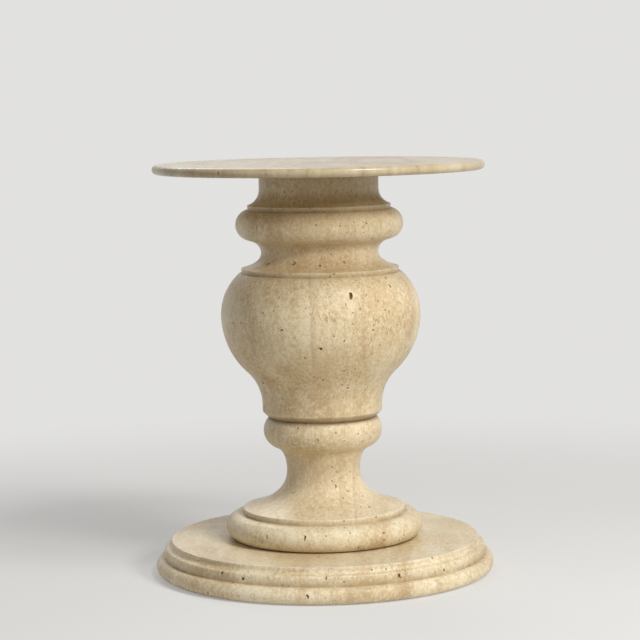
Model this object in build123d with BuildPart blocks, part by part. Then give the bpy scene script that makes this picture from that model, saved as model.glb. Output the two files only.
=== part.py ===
"""Dining table pedestal, turned from stone in four blocks and drawn together by a hidden tie rod.

Millimetres. The floor is z = 0, the turning axis is the Z axis, and every stone is a revolved
section. From the floor up: a round moulded plinth, the foot with its flare and bead, the urn with
its collar and neck, and the round plate that carries a table top.
"""
import os
from math import cos, pi, radians, sin, sqrt, tan

from build123d import *

# Plinth, from the floor up
plinth_radius = 300.0
plinth_bullnose_height = 29.5
plinth_quirk = 1.0
plinth_band_height = 13.25
plinth_ovolo_radius = 5.0
plinth_cavetto_radius = 7.25
plinth_lip_height = 5.0

# Foot: torus set just inside the belly above it, fillet, flare, waist and bead
foot_setback = 2.0
foot_torus_round = 22.0
foot_ledge = 8.5
foot_fillet_height = 10.0
foot_flare_height = 82.0
foot_flare_slope = 12.0
foot_waist_radius = 66.4
foot_waist_to_bead = 56.0
bead_radius = 105.0
bead_round = 32.0
bead_underside_angle = 69.0

# Urn: undercut joint, belly, shoulder, collar scotia, collar torus and neck
urn_lip_overhang = 1.0
joint_undercut = 11.0
urn_lip_height = 10.5
belly_radius = 176.0
belly_height = 161.0
belly_round = 137.0
shoulder_round = 97.0
shoulder_height = 73.5
shoulder_quirk = 3.6
shoulder_fillet_height = 8.5
scotia_lip_slope = 14.0
scotia_waist_radius = 103.4
scotia_lower_height = 30.0
scotia_upper_height = 46.5
collar_round = 27.5
collar_underside_angle = 78.0
collar_cap_angle = 75.0
collar_quirk = 1.3
neck_fillet_height = 7.5
neck_cavetto_projection = 21.0
neck_cavetto_height = 27.5
neck_radius = 105.0
neck_height = 30.2

# Plate
plate_radius = 291.5
plate_thickness = 16.0

# Tie rod with a nut and a wide washer in a pocket at each end
rod_diameter = 16.0
rod_bore_clearance = 2.0
rod_projection = 6.0
rod_end_chamfer = 1.5
washer_diameter = 50.0
washer_thickness = 4.0
washer_bore_clearance = 0.5
washer_chamfer = 0.5
nut_across_flats = 24.0
nut_height = 13.0
nut_sides = 6
nut_chamfer_angle = 30.0
thread_clearance = 0.05
pocket_clearance = 5.0
pocket_end_clearance = 5.0

# Dowels that keep the plate from turning or sliding on the neck
dowel_diameter = 10.0
dowel_length = 28.0
dowel_in_plate = 8.0
dowel_circle_radius = 75.0
dowel_count = 3
dowel_clearance = 0.2
dowel_end_clearance = 0.5
dowel_chamfer = 1.0

# Heights of the beds between the stones
plinth_thickness = (
    plinth_bullnose_height
    + plinth_band_height
    + plinth_ovolo_radius
    + plinth_cavetto_radius
    + plinth_lip_height
)
foot_torus_top = plinth_thickness + 2 * foot_torus_round
foot_lip_level = foot_torus_top + foot_fillet_height
foot_waist_level = foot_lip_level + foot_flare_height
bead_level = foot_waist_level + foot_waist_to_bead
bead_centre_radius = bead_radius - bead_round
urn_lip_radius = bead_radius + urn_lip_overhang
joint_radius = urn_lip_radius - joint_undercut
foot_top = bead_level + sqrt(bead_round**2 - (joint_radius - bead_centre_radius) ** 2)

urn_lip_level = foot_top + joint_undercut
hollow_level = urn_lip_level + urn_lip_height
belly_level = hollow_level + belly_height
shoulder_level = belly_level + shoulder_height
scotia_lip_level = shoulder_level + shoulder_fillet_height
scotia_waist_level = scotia_lip_level + scotia_lower_height
collar_level = scotia_waist_level + scotia_upper_height
collar_cap_level = collar_level + collar_round * sin(radians(collar_cap_angle))
neck_fillet_level = collar_cap_level + neck_fillet_height
cavetto_level = neck_fillet_level + neck_cavetto_height
urn_top = cavetto_level + neck_height
pedestal_height = urn_top + plate_thickness

# Pockets and bores for the fixings
rod_bore_radius = rod_diameter / 2 + rod_bore_clearance
pocket_radius = washer_diameter / 2 + pocket_clearance
pocket_depth = washer_thickness + nut_height + rod_projection + pocket_end_clearance
upper_pocket_floor = urn_top - pocket_depth
dowel_foot = urn_top + dowel_in_plate - dowel_length
dowel_hole_radius = dowel_diameter / 2 + dowel_clearance


def on_round(centre_radius, level, round_radius, angle):
    """Point of a round moulding's section at an angle above the horizontal through its centre."""
    turn = radians(angle)
    return (centre_radius + round_radius * cos(turn), level + round_radius * sin(turn))


def slope(angle):
    """Direction that runs in towards the axis and climbs by the angle."""
    return (-cos(radians(angle)), sin(radians(angle)))


def rising_round(angle):
    """Direction of a round moulding's section, going up, at an angle below the horizontal."""
    return (sin(radians(angle)), cos(radians(angle)))


# Plinth: a bullnose at the floor, then a band, an ovolo and a cavetto up to the flat top
bullnose_round = plinth_bullnose_height / 2
bullnose_centre_radius = plinth_radius - bullnose_round
band_radius = bullnose_centre_radius - plinth_quirk
band_top = plinth_bullnose_height + plinth_band_height
ovolo_top_radius = band_radius - plinth_ovolo_radius
ovolo_top = band_top + plinth_ovolo_radius
plinth_top_radius = ovolo_top_radius - plinth_cavetto_radius
cavetto_top = ovolo_top + plinth_cavetto_radius

with BuildPart() as plinth:
    with BuildSketch(Plane.XZ):
        with BuildLine():
            underside = Line((0, 0), (bullnose_centre_radius, 0))
            bullnose = ThreePointArc(
                underside @ 1,
                (plinth_radius, bullnose_round),
                (bullnose_centre_radius, plinth_bullnose_height),
            )
            quirk = Line(bullnose @ 1, (band_radius, plinth_bullnose_height))
            band = Line(quirk @ 1, (band_radius, band_top))
            ovolo = TangentArc(band @ 1, (ovolo_top_radius, ovolo_top), tangent=(0, 1))
            cavetto = TangentArc(ovolo @ 1, (plinth_top_radius, cavetto_top), tangent=(-1, 0))
            lip = Line(cavetto @ 1, (plinth_top_radius, plinth_thickness))
            bed = Line(lip @ 1, (0, plinth_thickness))
            Line(bed @ 1, underside @ 0)
        make_face()
    revolve(axis=Axis.Z)
    with Locations(Location((0, 0, 0), (180, 0, 0))):
        CounterBoreHole(rod_bore_radius, pocket_radius, pocket_depth)

# Foot: torus on the plinth, fillet, flare up to the waist, and the bead that carries the urn
foot_radius = belly_radius - foot_setback
foot_torus_centre_radius = foot_radius - foot_torus_round
foot_fillet_radius = foot_torus_centre_radius - foot_ledge
bead_start = on_round(bead_centre_radius, bead_level, bead_round, -bead_underside_angle)

with BuildPart() as foot:
    with BuildSketch(Plane.XZ):
        with BuildLine():
            bed = Line((0, plinth_thickness), (foot_torus_centre_radius, plinth_thickness))
            torus = ThreePointArc(
                bed @ 1,
                (foot_radius, plinth_thickness + foot_torus_round),
                (foot_torus_centre_radius, foot_torus_top),
            )
            ledge = Line(torus @ 1, (foot_fillet_radius, foot_torus_top))
            fillet_face = Line(ledge @ 1, (foot_fillet_radius, foot_lip_level))
            flare = Spline(
                fillet_face @ 1,
                (foot_waist_radius, foot_waist_level),
                bead_start,
                tangents=(slope(foot_flare_slope), rising_round(bead_underside_angle)),
            )
            bead = ThreePointArc(flare @ 1, (bead_radius, bead_level), (joint_radius, foot_top))
            joint = Line(bead @ 1, (0, foot_top))
            Line(joint @ 1, bed @ 0)
        make_face()
    revolve(axis=Axis.Z)
    with Locations((0, 0, foot_top)):
        Hole(rod_bore_radius)

# Urn: undercut joint, hollow and belly, shoulder with its fillet, scotia, collar and neck
belly_centre_radius = belly_radius - belly_round
hollow_offset = urn_lip_radius - belly_centre_radius
hollow_round = (hollow_offset**2 + belly_height**2 - belly_round**2) / (2 * (belly_round - hollow_offset))
hollow_share = belly_round / (belly_round + hollow_round)
hollow_end = (
    belly_centre_radius + (hollow_offset + hollow_round) * hollow_share,
    belly_level - belly_height * hollow_share,
)
shoulder_radius = belly_radius - shoulder_round + sqrt(shoulder_round**2 - shoulder_height**2)
shoulder_fillet_radius = shoulder_radius - shoulder_quirk
neck_fillet_radius = neck_radius + neck_cavetto_projection
collar_cap_radius = neck_fillet_radius + collar_quirk
collar_centre_radius = collar_cap_radius - collar_round * cos(radians(collar_cap_angle))
collar_radius = collar_centre_radius + collar_round
collar_start = on_round(collar_centre_radius, collar_level, collar_round, -collar_underside_angle)

with BuildPart() as urn:
    with BuildSketch(Plane.XZ):
        with BuildLine():
            joint = Line((0, foot_top), (joint_radius, foot_top))
            undercut = Line(joint @ 1, (urn_lip_radius, urn_lip_level))
            lip = Line(undercut @ 1, (urn_lip_radius, hollow_level))
            hollow = TangentArc(lip @ 1, hollow_end, tangent=(0, 1))
            belly = TangentArc(hollow @ 1, (belly_radius, belly_level), tangent=hollow % 1)
            shoulder = TangentArc(belly @ 1, (shoulder_radius, shoulder_level), tangent=(0, 1))
            quirk = Line(shoulder @ 1, (shoulder_fillet_radius, shoulder_level))
            fillet_face = Line(quirk @ 1, (shoulder_fillet_radius, scotia_lip_level))
            scotia = Spline(
                fillet_face @ 1,
                (scotia_waist_radius, scotia_waist_level),
                collar_start,
                tangents=(slope(scotia_lip_slope), rising_round(collar_underside_angle)),
            )
            collar = ThreePointArc(
                scotia @ 1,
                (collar_radius, collar_level),
                (collar_cap_radius, collar_cap_level),
            )
            collar_ledge = Line(collar @ 1, (neck_fillet_radius, collar_cap_level))
            neck_fillet = Line(collar_ledge @ 1, (neck_fillet_radius, neck_fillet_level))
            neck = Line((neck_radius, cavetto_level), (neck_radius, urn_top))
            TangentArc(neck @ 0, neck_fillet @ 1, tangent=(0, -1))
            bed = Line(neck @ 1, (0, urn_top))
            Line(bed @ 1, joint @ 0)
        make_face()
    revolve(axis=Axis.Z)
    with Locations((0, 0, urn_top)):
        CounterBoreHole(rod_bore_radius, pocket_radius, pocket_depth)
        with PolarLocations(dowel_circle_radius, dowel_count):
            Hole(dowel_hole_radius, depth=urn_top - dowel_foot)

# Plate: a round slab with a full bullnose edge and blind holes for the dowels underneath
plate_round = plate_thickness / 2
plate_edge_radius = plate_radius - plate_round

with BuildPart() as top_plate:
    with BuildSketch(Plane.XZ):
        with BuildLine():
            underside = Line((0, urn_top), (plate_edge_radius, urn_top))
            edge = ThreePointArc(
                underside @ 1,
                (plate_radius, urn_top + plate_round),
                (plate_edge_radius, pedestal_height),
            )
            top = Line(edge @ 1, (0, pedestal_height))
            Line(top @ 1, underside @ 0)
        make_face()
    revolve(axis=Axis.Z)
    with Locations(Location((0, 0, urn_top), (180, 0, 0))):
        with PolarLocations(dowel_circle_radius, dowel_count):
            Hole(dowel_hole_radius, depth=dowel_in_plate + dowel_end_clearance)

# Tie rod through all three column stones, with its ends inside the pockets
rod_bottom = pocket_end_clearance
rod_top = urn_top - pocket_end_clearance

with BuildPart() as tie_rod:
    with BuildSketch(Plane.XY.offset(rod_bottom)):
        Circle(rod_diameter / 2)
    extrude(amount=rod_top - rod_bottom)
    chamfer(tie_rod.edges().filter_by(GeomType.CIRCLE), rod_end_chamfer)


def make_washer(underside_level):
    """Wide flat washer with broken edges, standing on the given level."""
    with BuildPart() as washer:
        with BuildSketch(Plane.XY.offset(underside_level)):
            Circle(washer_diameter / 2)
            Circle(rod_diameter / 2 + washer_bore_clearance, mode=Mode.SUBTRACT)
        extrude(amount=washer_thickness)
        rims = washer.edges().filter_by(GeomType.CIRCLE).group_by(SortBy.RADIUS)[-1]
        chamfer(rims, washer_chamfer)
    return washer


def make_nut(underside_level):
    """Hexagon nut, its corners turned off at both faces."""
    corner_radius = nut_across_flats / 2 / cos(pi / nut_sides)
    corner_drop = (corner_radius - nut_across_flats / 2) * tan(radians(nut_chamfer_angle))
    with BuildPart() as nut:
        with BuildSketch(Plane.XY.offset(underside_level)):
            RegularPolygon(corner_radius, nut_sides)
        extrude(amount=nut_height)
        with BuildSketch(Plane.XZ):
            with BuildLine():
                Polyline(
                    (0, underside_level),
                    (nut_across_flats / 2, underside_level),
                    (corner_radius, underside_level + corner_drop),
                    (corner_radius, underside_level + nut_height - corner_drop),
                    (nut_across_flats / 2, underside_level + nut_height),
                    (0, underside_level + nut_height),
                    close=True,
                )
            make_face()
        revolve(axis=Axis.Z, mode=Mode.INTERSECT)
        with Locations((0, 0, underside_level + nut_height)):
            Hole(rod_diameter / 2 + thread_clearance)
    return nut


lower_washer = make_washer(pocket_depth - washer_thickness)
lower_nut = make_nut(pocket_depth - washer_thickness - nut_height)
upper_washer = make_washer(upper_pocket_floor)
upper_nut = make_nut(upper_pocket_floor + washer_thickness)

# Dowels, standing on the floors of their holes in the neck
with BuildPart() as plate_dowels:
    with BuildSketch(Plane.XY.offset(dowel_foot)):
        with PolarLocations(dowel_circle_radius, dowel_count):
            Circle(dowel_diameter / 2)
    extrude(amount=dowel_length)
    chamfer(plate_dowels.edges().filter_by(GeomType.CIRCLE), dowel_chamfer)

# Label and write every piece
pieces = {
    "plinth": plinth,
    "foot": foot,
    "urn": urn,
    "top_plate": top_plate,
    "tie_rod": tie_rod,
    "lower_washer": lower_washer,
    "lower_nut": lower_nut,
    "upper_washer": upper_washer,
    "upper_nut": upper_nut,
    "plate_dowels": plate_dowels,
}
os.makedirs("parts", exist_ok=True)
for name, piece in pieces.items():
    piece.part.label = name
    export_step(piece.part, f"parts/{name}.step")
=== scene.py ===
"""Turned travertine pedestal for a dining table, built around its packed CAD frame.

Metres throughout. The floor is z = 0, the turning axis is the Z axis, and the camera looks along +Y.
Each stone is a moulded section turned about the axis, with its natural pits cut into it.
"""
from math import asin, atan2, ceil, cos, pi, radians, sin, tau
from random import Random
from typing import NamedTuple

import bmesh
import bpy
import numpy as np
from bpy.props import FloatProperty, FloatVectorProperty, PointerProperty
from bpy.types import NodeSocket, Operator, Panel, PropertyGroup
from mathutils import Matrix, Quaternion, Vector, noise
from mathutils.bvhtree import BVHTree


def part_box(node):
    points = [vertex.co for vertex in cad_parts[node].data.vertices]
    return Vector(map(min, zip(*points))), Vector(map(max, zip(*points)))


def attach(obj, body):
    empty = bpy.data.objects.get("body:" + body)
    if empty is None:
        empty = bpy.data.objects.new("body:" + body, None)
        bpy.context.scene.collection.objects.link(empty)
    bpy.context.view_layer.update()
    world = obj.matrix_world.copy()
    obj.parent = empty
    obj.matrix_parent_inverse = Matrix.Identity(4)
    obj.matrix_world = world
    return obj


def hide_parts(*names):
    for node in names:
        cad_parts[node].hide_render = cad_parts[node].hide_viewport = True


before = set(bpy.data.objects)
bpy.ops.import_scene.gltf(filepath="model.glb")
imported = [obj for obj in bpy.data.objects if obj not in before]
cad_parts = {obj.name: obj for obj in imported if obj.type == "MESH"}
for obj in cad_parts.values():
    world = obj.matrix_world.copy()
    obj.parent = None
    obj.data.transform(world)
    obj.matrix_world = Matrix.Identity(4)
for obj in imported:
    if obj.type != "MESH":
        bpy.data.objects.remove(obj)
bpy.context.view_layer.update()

bl_info = {
    "name": "Turned Stone Pedestal",
    "version": (1, 0, 0),
    "blender": (4, 5, 0),
    "location": "View3D > Sidebar > Pedestal",
    "description": "Builds a turned travertine table pedestal around its CAD frame",
    "category": "Add Mesh",
}

# Levels of the beds between the stones, and of the fixings, from the frame
floor_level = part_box("plinth")[0].z
plinth_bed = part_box("foot")[0].z
foot_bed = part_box("urn")[0].z
urn_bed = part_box("top_plate")[0].z
table_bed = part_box("top_plate")[1].z
rod_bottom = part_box("tie_rod")[0].z
rod_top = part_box("tie_rod")[1].z
lower_pocket_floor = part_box("lower_washer")[1].z
upper_pocket_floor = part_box("upper_washer")[0].z
dowel_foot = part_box("plate_dowels")[0].z
dowel_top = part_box("plate_dowels")[1].z

# How finely the sections are drawn and turned
ROUND_STEP = 0.0034
ROUND_TURN = radians(7)
FLAT_STEP = 0.012
SUPPORT = 0.002
CORNER_TURN = radians(20)
EASE_STEPS = 4
EASE_ROOM = 0.45
SHARP_TURN = radians(40)
SLIM_SEGMENTS = 288
WIDE_SEGMENTS = 360

# How a turned face wanders from true: how often, and how far apart the stones' own patterns lie
WANDER_SCALE = 16
WANDER_STEP = (7.3, 3.1, 5.7)

# How far the painted corner marks reach: lighter arrises (wear and painted highlight), darker quirks and
# joints (dust, dirt and painted shade)
ARRIS_WEAR_AND_HIGHLIGHT_REACH = 0.0016
CREVICE_DUST_AND_SHADE_REACH = 0.0045
BED_DIRT_AND_SHADE_REACH = 0.005
UNDERCUT_DIRT_AND_SHADE_REACH = 0.0105

# Shape of a pit. Pits up to the plain size are one blob, and larger ones a leaf with two lobes
PLAIN_PIT = 0.0045
FINE_PIT = 0.005
PIT_DEPTH = (0.55, 0.8)
PIT_ROOM = 0.6
PIT_SPACING = 1.1
PIT_LEAN = 0.25
PIT_TAPER = 0.6
PIT_SINK = 0.22
PIT_LUMPS = ((1.5, 0.34), (3.4, 0.22))
PATTERN_ROOM = 90
BLOB_DIVISIONS = 2
FINE_DIVISIONS = 3
LEAF_WIDTH = 0.8
LEAF_HEIGHT = 0.9
LOBE_ALONG = (0.10, 0.36)
LOBE_ASIDE = (-0.5, 0.5)
LOBE_SIZE = (0.45, 0.85)
LOBE_HEIGHT = 0.55
FLAT_FACE = 0.8

# Pits scattered all round: in streaks along the beds, and only small ones towards the camera
STREAK_SCALE = Vector((75, 6, 4))
STREAK_LIMITS = (-0.1, 0.45)
PIT_WIDTH = 0.0021
PIT_SPREAD = 0.5
PIT_STRETCH = (1.0, 2.3)
FRONT_SHARE = 0.65
FRONT_WIDTH = 0.0018
MOST_TRIES = 20000

# Dowels and thread
DOWEL_COUNT = 3
DOWEL_SEGMENTS = 48
THREAD_SEGMENTS = 48
THREAD_STEPS = 10
FLANK_SLOPE = 2.6
CREST_SHARE = 0.15

# How far the beds sway out of plane, and within it
BED_SWAY = 0.045
CROSS_SWAY = 0.02

# Thin upright veins: how wide they are, how far their halo reaches to one side, and how softly they end
VEIN_CORE = 0.0004
VEIN_EDGE = 0.0032
HALO_START = (-0.001, 0.002)
HALO_END = (0.002, 0.014)
HALO_SHARE = 0.34
VEIN_TAPER = 0.02
VEIN_HEAD = 0.03

# Surface of the stones and the steel
HONED_RELIEF = 0.55
POLISHED_RELIEF = 0.015
RELIEF_DEPTH = 0.0006
RUBBING = 0.07
TURNING_MARKS = 0.0022
SCRATCH_DEPTH = 0.0001

# Studio floor: a ring that starts under the plinth's edge and fades into the background
FLOOR_SEGMENTS = 240
FLOOR_TUCK = 0.0005
FLOOR_GAP = 0.0004
FLOOR_SHADE = 0.97
FADE_START = 0.3
FADE_END = 0.95

# The photograph's frame, for what is placed by its pixels
PHOTO_SIDE = 640
SENSOR_WIDTH = 36.0
MILLIMETRES = 1000

# Pits seen in the photograph: pixel across, pixel down, width and height in millimetres
URN_BELLY_PITS = (
    (351, 296, 7.5, 14), (321, 349, 6, 6), (390, 286, 4, 8), (386, 278, 3.5, 5),
    (282, 330, 6, 3), (305, 358, 3, 3), (314, 377, 3, 3), (323, 380, 4, 4.5), (263, 383, 5, 5),
    (373, 330, 4.5, 3), (374, 325, 3, 3), (378, 301, 2.5, 5), (241, 323, 3, 3),
    (348, 388, 3, 5), (355, 369, 3, 3), (344, 371, 3, 3), (372, 354, 3, 3),
    (353, 324, 3, 3), (346, 305, 1.8, 8), (344, 341, 2.5, 5), (360, 309, 2.5, 3.5),
    (385, 310, 3, 3), (277, 378, 3, 2.5), (376, 320, 2.5, 4), (353, 313, 2.2, 3),
    (334, 336, 2.5, 4.5), (380, 345, 3, 3), (398, 325, 2.2, 3), (326, 297, 3, 1.8),
    (324, 285, 2, 3), (274, 311, 2.5, 3), (263, 313, 2.2, 3), (233, 323, 2.5, 4),
    (342, 385, 2.5, 3),
)
URN_SHOULDER_PITS = (
    (294, 264, 4.5, 8), (320, 266, 3, 7), (268, 264, 6, 5), (344, 262, 2.5, 7),
    (331, 254, 2.5, 4), (334, 274, 3, 3), (330, 277, 3, 2.5), (280, 274, 2.5, 3),
)
URN_COLLAR_PITS = (
    (316, 225, 5, 3), (340, 226, 2.5, 3.5), (366, 223, 2.5, 5), (354, 222, 2.5, 5),
    (377, 198, 3, 3), (324, 212, 3, 4), (310, 208, 3, 3),
)
FOOT_BEAD_PITS = (
    (298, 428, 3, 5), (318, 440, 2.5, 6), (336, 433, 2.5, 5), (358, 434, 2.5, 4),
    (306, 424, 5, 3), (334, 423, 3, 2.5),
)
FOOT_FLARE_PITS = (
    (332, 467, 3, 3), (350, 472, 3, 3), (336, 486, 3, 6), (363, 496, 3, 3),
    (369, 507, 4.5, 4.5), (341, 515, 3, 2.5), (344, 521, 3, 3), (376, 517, 3, 5),
    (337, 472, 2, 4), (341, 478, 2.2, 3), (348, 491, 2.5, 4), (354, 478, 2, 3.5),
    (358, 475, 2.2, 3), (350, 504, 2.5, 3.5), (361, 507, 2.2, 3), (343, 498, 2, 4),
    (332, 481, 2, 3),
)
FOOT_TORUS_PITS = (
    (305, 538, 4.5, 11), (326, 536, 2.5, 3), (350, 533, 2.5, 3), (384, 533, 5, 3),
    (384, 540, 5, 3), (384, 545, 3, 3), (404, 535, 2.5, 5), (358, 548, 2.5, 5),
    (330, 550, 3, 3), (267, 537, 3, 8),
)
PLINTH_PITS = (
    (308, 597, 4.5, 9), (326, 578, 3, 8), (292, 575, 2.5, 2.5), (344, 582, 3, 3),
    (372, 570, 3, 3), (386, 569, 3, 3), (243, 579, 6, 6), (222, 573, 6, 7), (233, 583, 5, 3),
    (208, 593, 3, 6), (432, 558, 3, 6), (444, 570, 4.5, 6), (435, 572, 1.8, 9),
    (399, 576, 6, 9), (405, 571, 3, 3),
)
PLATE_PITS = ((218, 173, 3.5, 6),)

# Soft patches seen there: pixel across, pixel down, reach in millimetres, colour and its share
PLINTH_PATCHES = (
    (350, 596, 16, "stain", 0.42), (366, 592, 14, "stain", 0.42), (407, 591, 16, "stain", 0.42),
    (440, 585, 14, "stain", 0.42), (194, 585, 18, "stain", 0.42), (303, 588, 12, "stain", 0.42),
)
FOOT_PATCHES = (
    (378, 544, 16, "stain", 0.42), (360, 549, 12, "stain", 0.42), (402, 541, 12, "stain", 0.42),
    (262, 541, 12, "stain", 0.42),
)
URN_PATCHES = (
    (267, 380, 30, "rust", 0.75), (284, 370, 26, "rust", 0.30), (384, 300, 45, "blush", 0.40),
    (378, 352, 40, "blush", 0.34), (352, 306, 14, "cream", 0.90),
)

# Drifts seen there, where the stone is more marked: pixel across, pixel down, reach in millimetres
FOOT_DRIFTS = ((352, 494, 40), (396, 540, 26))
URN_DRIFTS = ((375, 325, 60), (350, 380, 35))

# Thin upright veins: place across, lower end, upper end and strength
FOOT_VEINS = ((0.030, 0.10, 0.22, 0.50), (0.053, 0.09, 0.20, 0.45), (0.100, 0.05, 0.11, 0.50))
URN_VEINS = ((-0.0175, 0.37, 0.545, 0.46), (0.070, 0.36, 0.50, 0.30))


class Block(NamedTuple):
    """Block that a stone is turned from: its random seed, place in the quarry's bed and scattered pits."""
    seed: int
    place: tuple
    pits: int
    largest_pit: float


PLINTH_BLOCK = Block(seed=11, place=(1.7, 0.4, 0.9), pits=170, largest_pit=0.006)
FOOT_BLOCK = Block(seed=23, place=(4.1, 2.3, 6.2), pits=130, largest_pit=0.006)
URN_BLOCK = Block(seed=37, place=(0.6, 5.2, 3.3), pits=260, largest_pit=0.007)
PLATE_BLOCK = Block(seed=53, place=(7.7, 1.9, 2.8), pits=60, largest_pit=0.003)


class Lamp(NamedTuple):
    """Soft square lamp: its place and side, and whether polished faces mirror it."""
    place: tuple
    side: float
    mirrored: bool


LAMPS = {
    "key": Lamp(place=(2.2, -2.4, 1.95), side=0.85, mirrored=False),
    "glint": Lamp(place=(1.5, -1.7, 3.4), side=0.8, mirrored=True),
    "fill": Lamp(place=(-2.6, -2.4, 1.4), side=2.0, mirrored=True),
    "back": Lamp(place=(-0.8, 2.6, 2.6), side=1.6, mirrored=True),
}


# Settings


def size_of(name, description, default):
    """A length that a user may change."""
    return FloatProperty(
        name=name, description=description, default=default, min=0.0, precision=5,
        unit="LENGTH", subtype="DISTANCE",
    )


def angle_of(name, description, default):
    """An angle that a user may change."""
    return FloatProperty(
        name=name, description=description, default=default, unit="ROTATION", subtype="ANGLE",
    )


def share_of(name, description, default):
    """A share from 0 to 1 that a user may change."""
    return FloatProperty(
        name=name, description=description, default=default, min=0.0, max=1.0, subtype="FACTOR",
    )


def power_of(name, description, default):
    """A lamp's power that a user may change."""
    return FloatProperty(name=name, description=description, default=default, min=0.0, unit="POWER")


def colour_of(name, description, default):
    """A surface colour that a user may change."""
    return FloatVectorProperty(
        name=name, description=description, default=default, size=3, min=0.0, max=1.0,
        subtype="COLOR",
    )


class PlinthSizes(PropertyGroup):
    """Round base slab: bullnose, band, ovolo and cavetto."""
    radius: size_of("Radius", "Widest radius, at the bullnose", 0.300)
    bullnose_height: size_of("Bullnose height", "Height of the half round at the floor", 0.0295)
    quirk: size_of("Quirk", "Step between the bullnose and the band", 0.001)
    band_height: size_of("Band height", "Height of the upright band", 0.01325)
    ovolo_radius: size_of("Ovolo radius", "Round at the top of the band", 0.005)
    cavetto_radius: size_of("Cavetto radius", "Hollow above the ovolo", 0.00725)


class FootSizes(PropertyGroup):
    """Lower turned block: torus, fillet, flare, waist and bead."""
    radius: size_of("Radius", "Widest radius, at the torus", 0.174)
    torus_round: size_of("Torus round", "Radius of the torus section", 0.022)
    ledge: size_of("Ledge", "Flat between the torus and the fillet", 0.0085)
    fillet_height: size_of("Fillet height", "Height of the upright fillet", 0.010)
    flare_height: size_of("Flare height", "From the fillet's lip to the waist", 0.082)
    flare_slope: angle_of("Flare slope", "Climb of the flare where it leaves the lip", radians(12))
    waist_radius: size_of("Waist radius", "Narrowest radius", 0.0664)
    waist_to_bead: size_of("Waist to bead", "From the waist to the middle of the bead", 0.056)
    bead_radius: size_of("Bead radius", "Widest radius of the bead", 0.105)
    bead_round: size_of("Bead round", "Radius of the bead's section", 0.032)
    bead_underside: angle_of("Bead underside", "Where the flare runs into the bead", radians(69))


class UrnSizes(PropertyGroup):
    """Upper turned block: undercut joint, belly, shoulder, scotia, collar and neck."""
    joint_radius: size_of("Joint radius", "Radius of the bed on the foot", 0.095)
    undercut: size_of("Undercut", "Depth and height of the open joint", 0.011)
    lip_height: size_of("Lip height", "Upright lip above the joint", 0.0105)
    belly_radius: size_of("Belly radius", "Widest radius", 0.176)
    belly_height: size_of("Belly height", "From the lip to the widest level", 0.161)
    belly_round: size_of("Belly round", "Radius of the belly's section", 0.137)
    shoulder_round: size_of("Shoulder round", "Radius of the shoulder's section", 0.097)
    shoulder_height: size_of("Shoulder height", "From the widest level to the shoulder", 0.0735)
    shoulder_quirk: size_of("Shoulder quirk", "Step in from the shoulder", 0.0036)
    fillet_height: size_of("Fillet height", "Upright fillet on the shoulder", 0.0085)
    scotia_slope: angle_of("Scotia slope", "Climb of the scotia where it leaves its lip", radians(14))
    scotia_waist: size_of("Scotia waist", "Narrowest radius of the scotia", 0.1034)
    scotia_lower: size_of("Scotia lower", "From the lip to the scotia's waist", 0.030)
    scotia_upper: size_of("Scotia upper", "From the waist to the middle of the collar", 0.0465)
    collar_round: size_of("Collar round", "Radius of the collar's section", 0.0275)
    collar_underside: angle_of("Collar underside", "Where the scotia runs into the collar", radians(78))
    collar_cap: angle_of("Collar cap", "Where the collar ends below the neck", radians(75))
    collar_quirk: size_of("Collar quirk", "Step in from the collar", 0.0013)
    neck_fillet: size_of("Neck fillet", "Upright fillet on the collar", 0.0075)
    cavetto_projection: size_of("Cavetto projection", "Reach of the hollow below the neck", 0.021)
    cavetto_height: size_of("Cavetto height", "Height of the hollow below the neck", 0.0275)
    neck_radius: size_of("Neck radius", "Radius of the straight neck", 0.105)


class PlateSizes(PropertyGroup):
    """Round plate under the table top."""
    radius: size_of("Radius", "Widest radius, at the middle of the edge", 0.2915)


class FixingSizes(PropertyGroup):
    """Tie rod, its bores and pockets, and the dowels."""
    bore_radius: size_of("Bore radius", "Bore through the stones", 0.010)
    pocket_radius: size_of("Pocket radius", "Pocket round each nut", 0.030)
    rod_radius: size_of("Rod radius", "Outer radius of the thread", 0.008)
    rod_chamfer: size_of("Rod chamfer", "Chamfer at the rod's ends", 0.0015)
    thread_pitch: size_of("Thread pitch", "Rise of the thread in a turn", 0.002)
    thread_depth: size_of("Thread depth", "From crest to root", 0.0012)
    thread_length: size_of("Thread length", "Threaded length at each end", 0.048)
    dowel_hole: size_of("Dowel hole", "Radius of the dowel holes", 0.0052)
    dowel_circle: size_of("Dowel circle", "Radius of the ring of dowels", 0.075)
    dowel_room: size_of("Dowel room", "Spare depth above each dowel", 0.0005)


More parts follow.
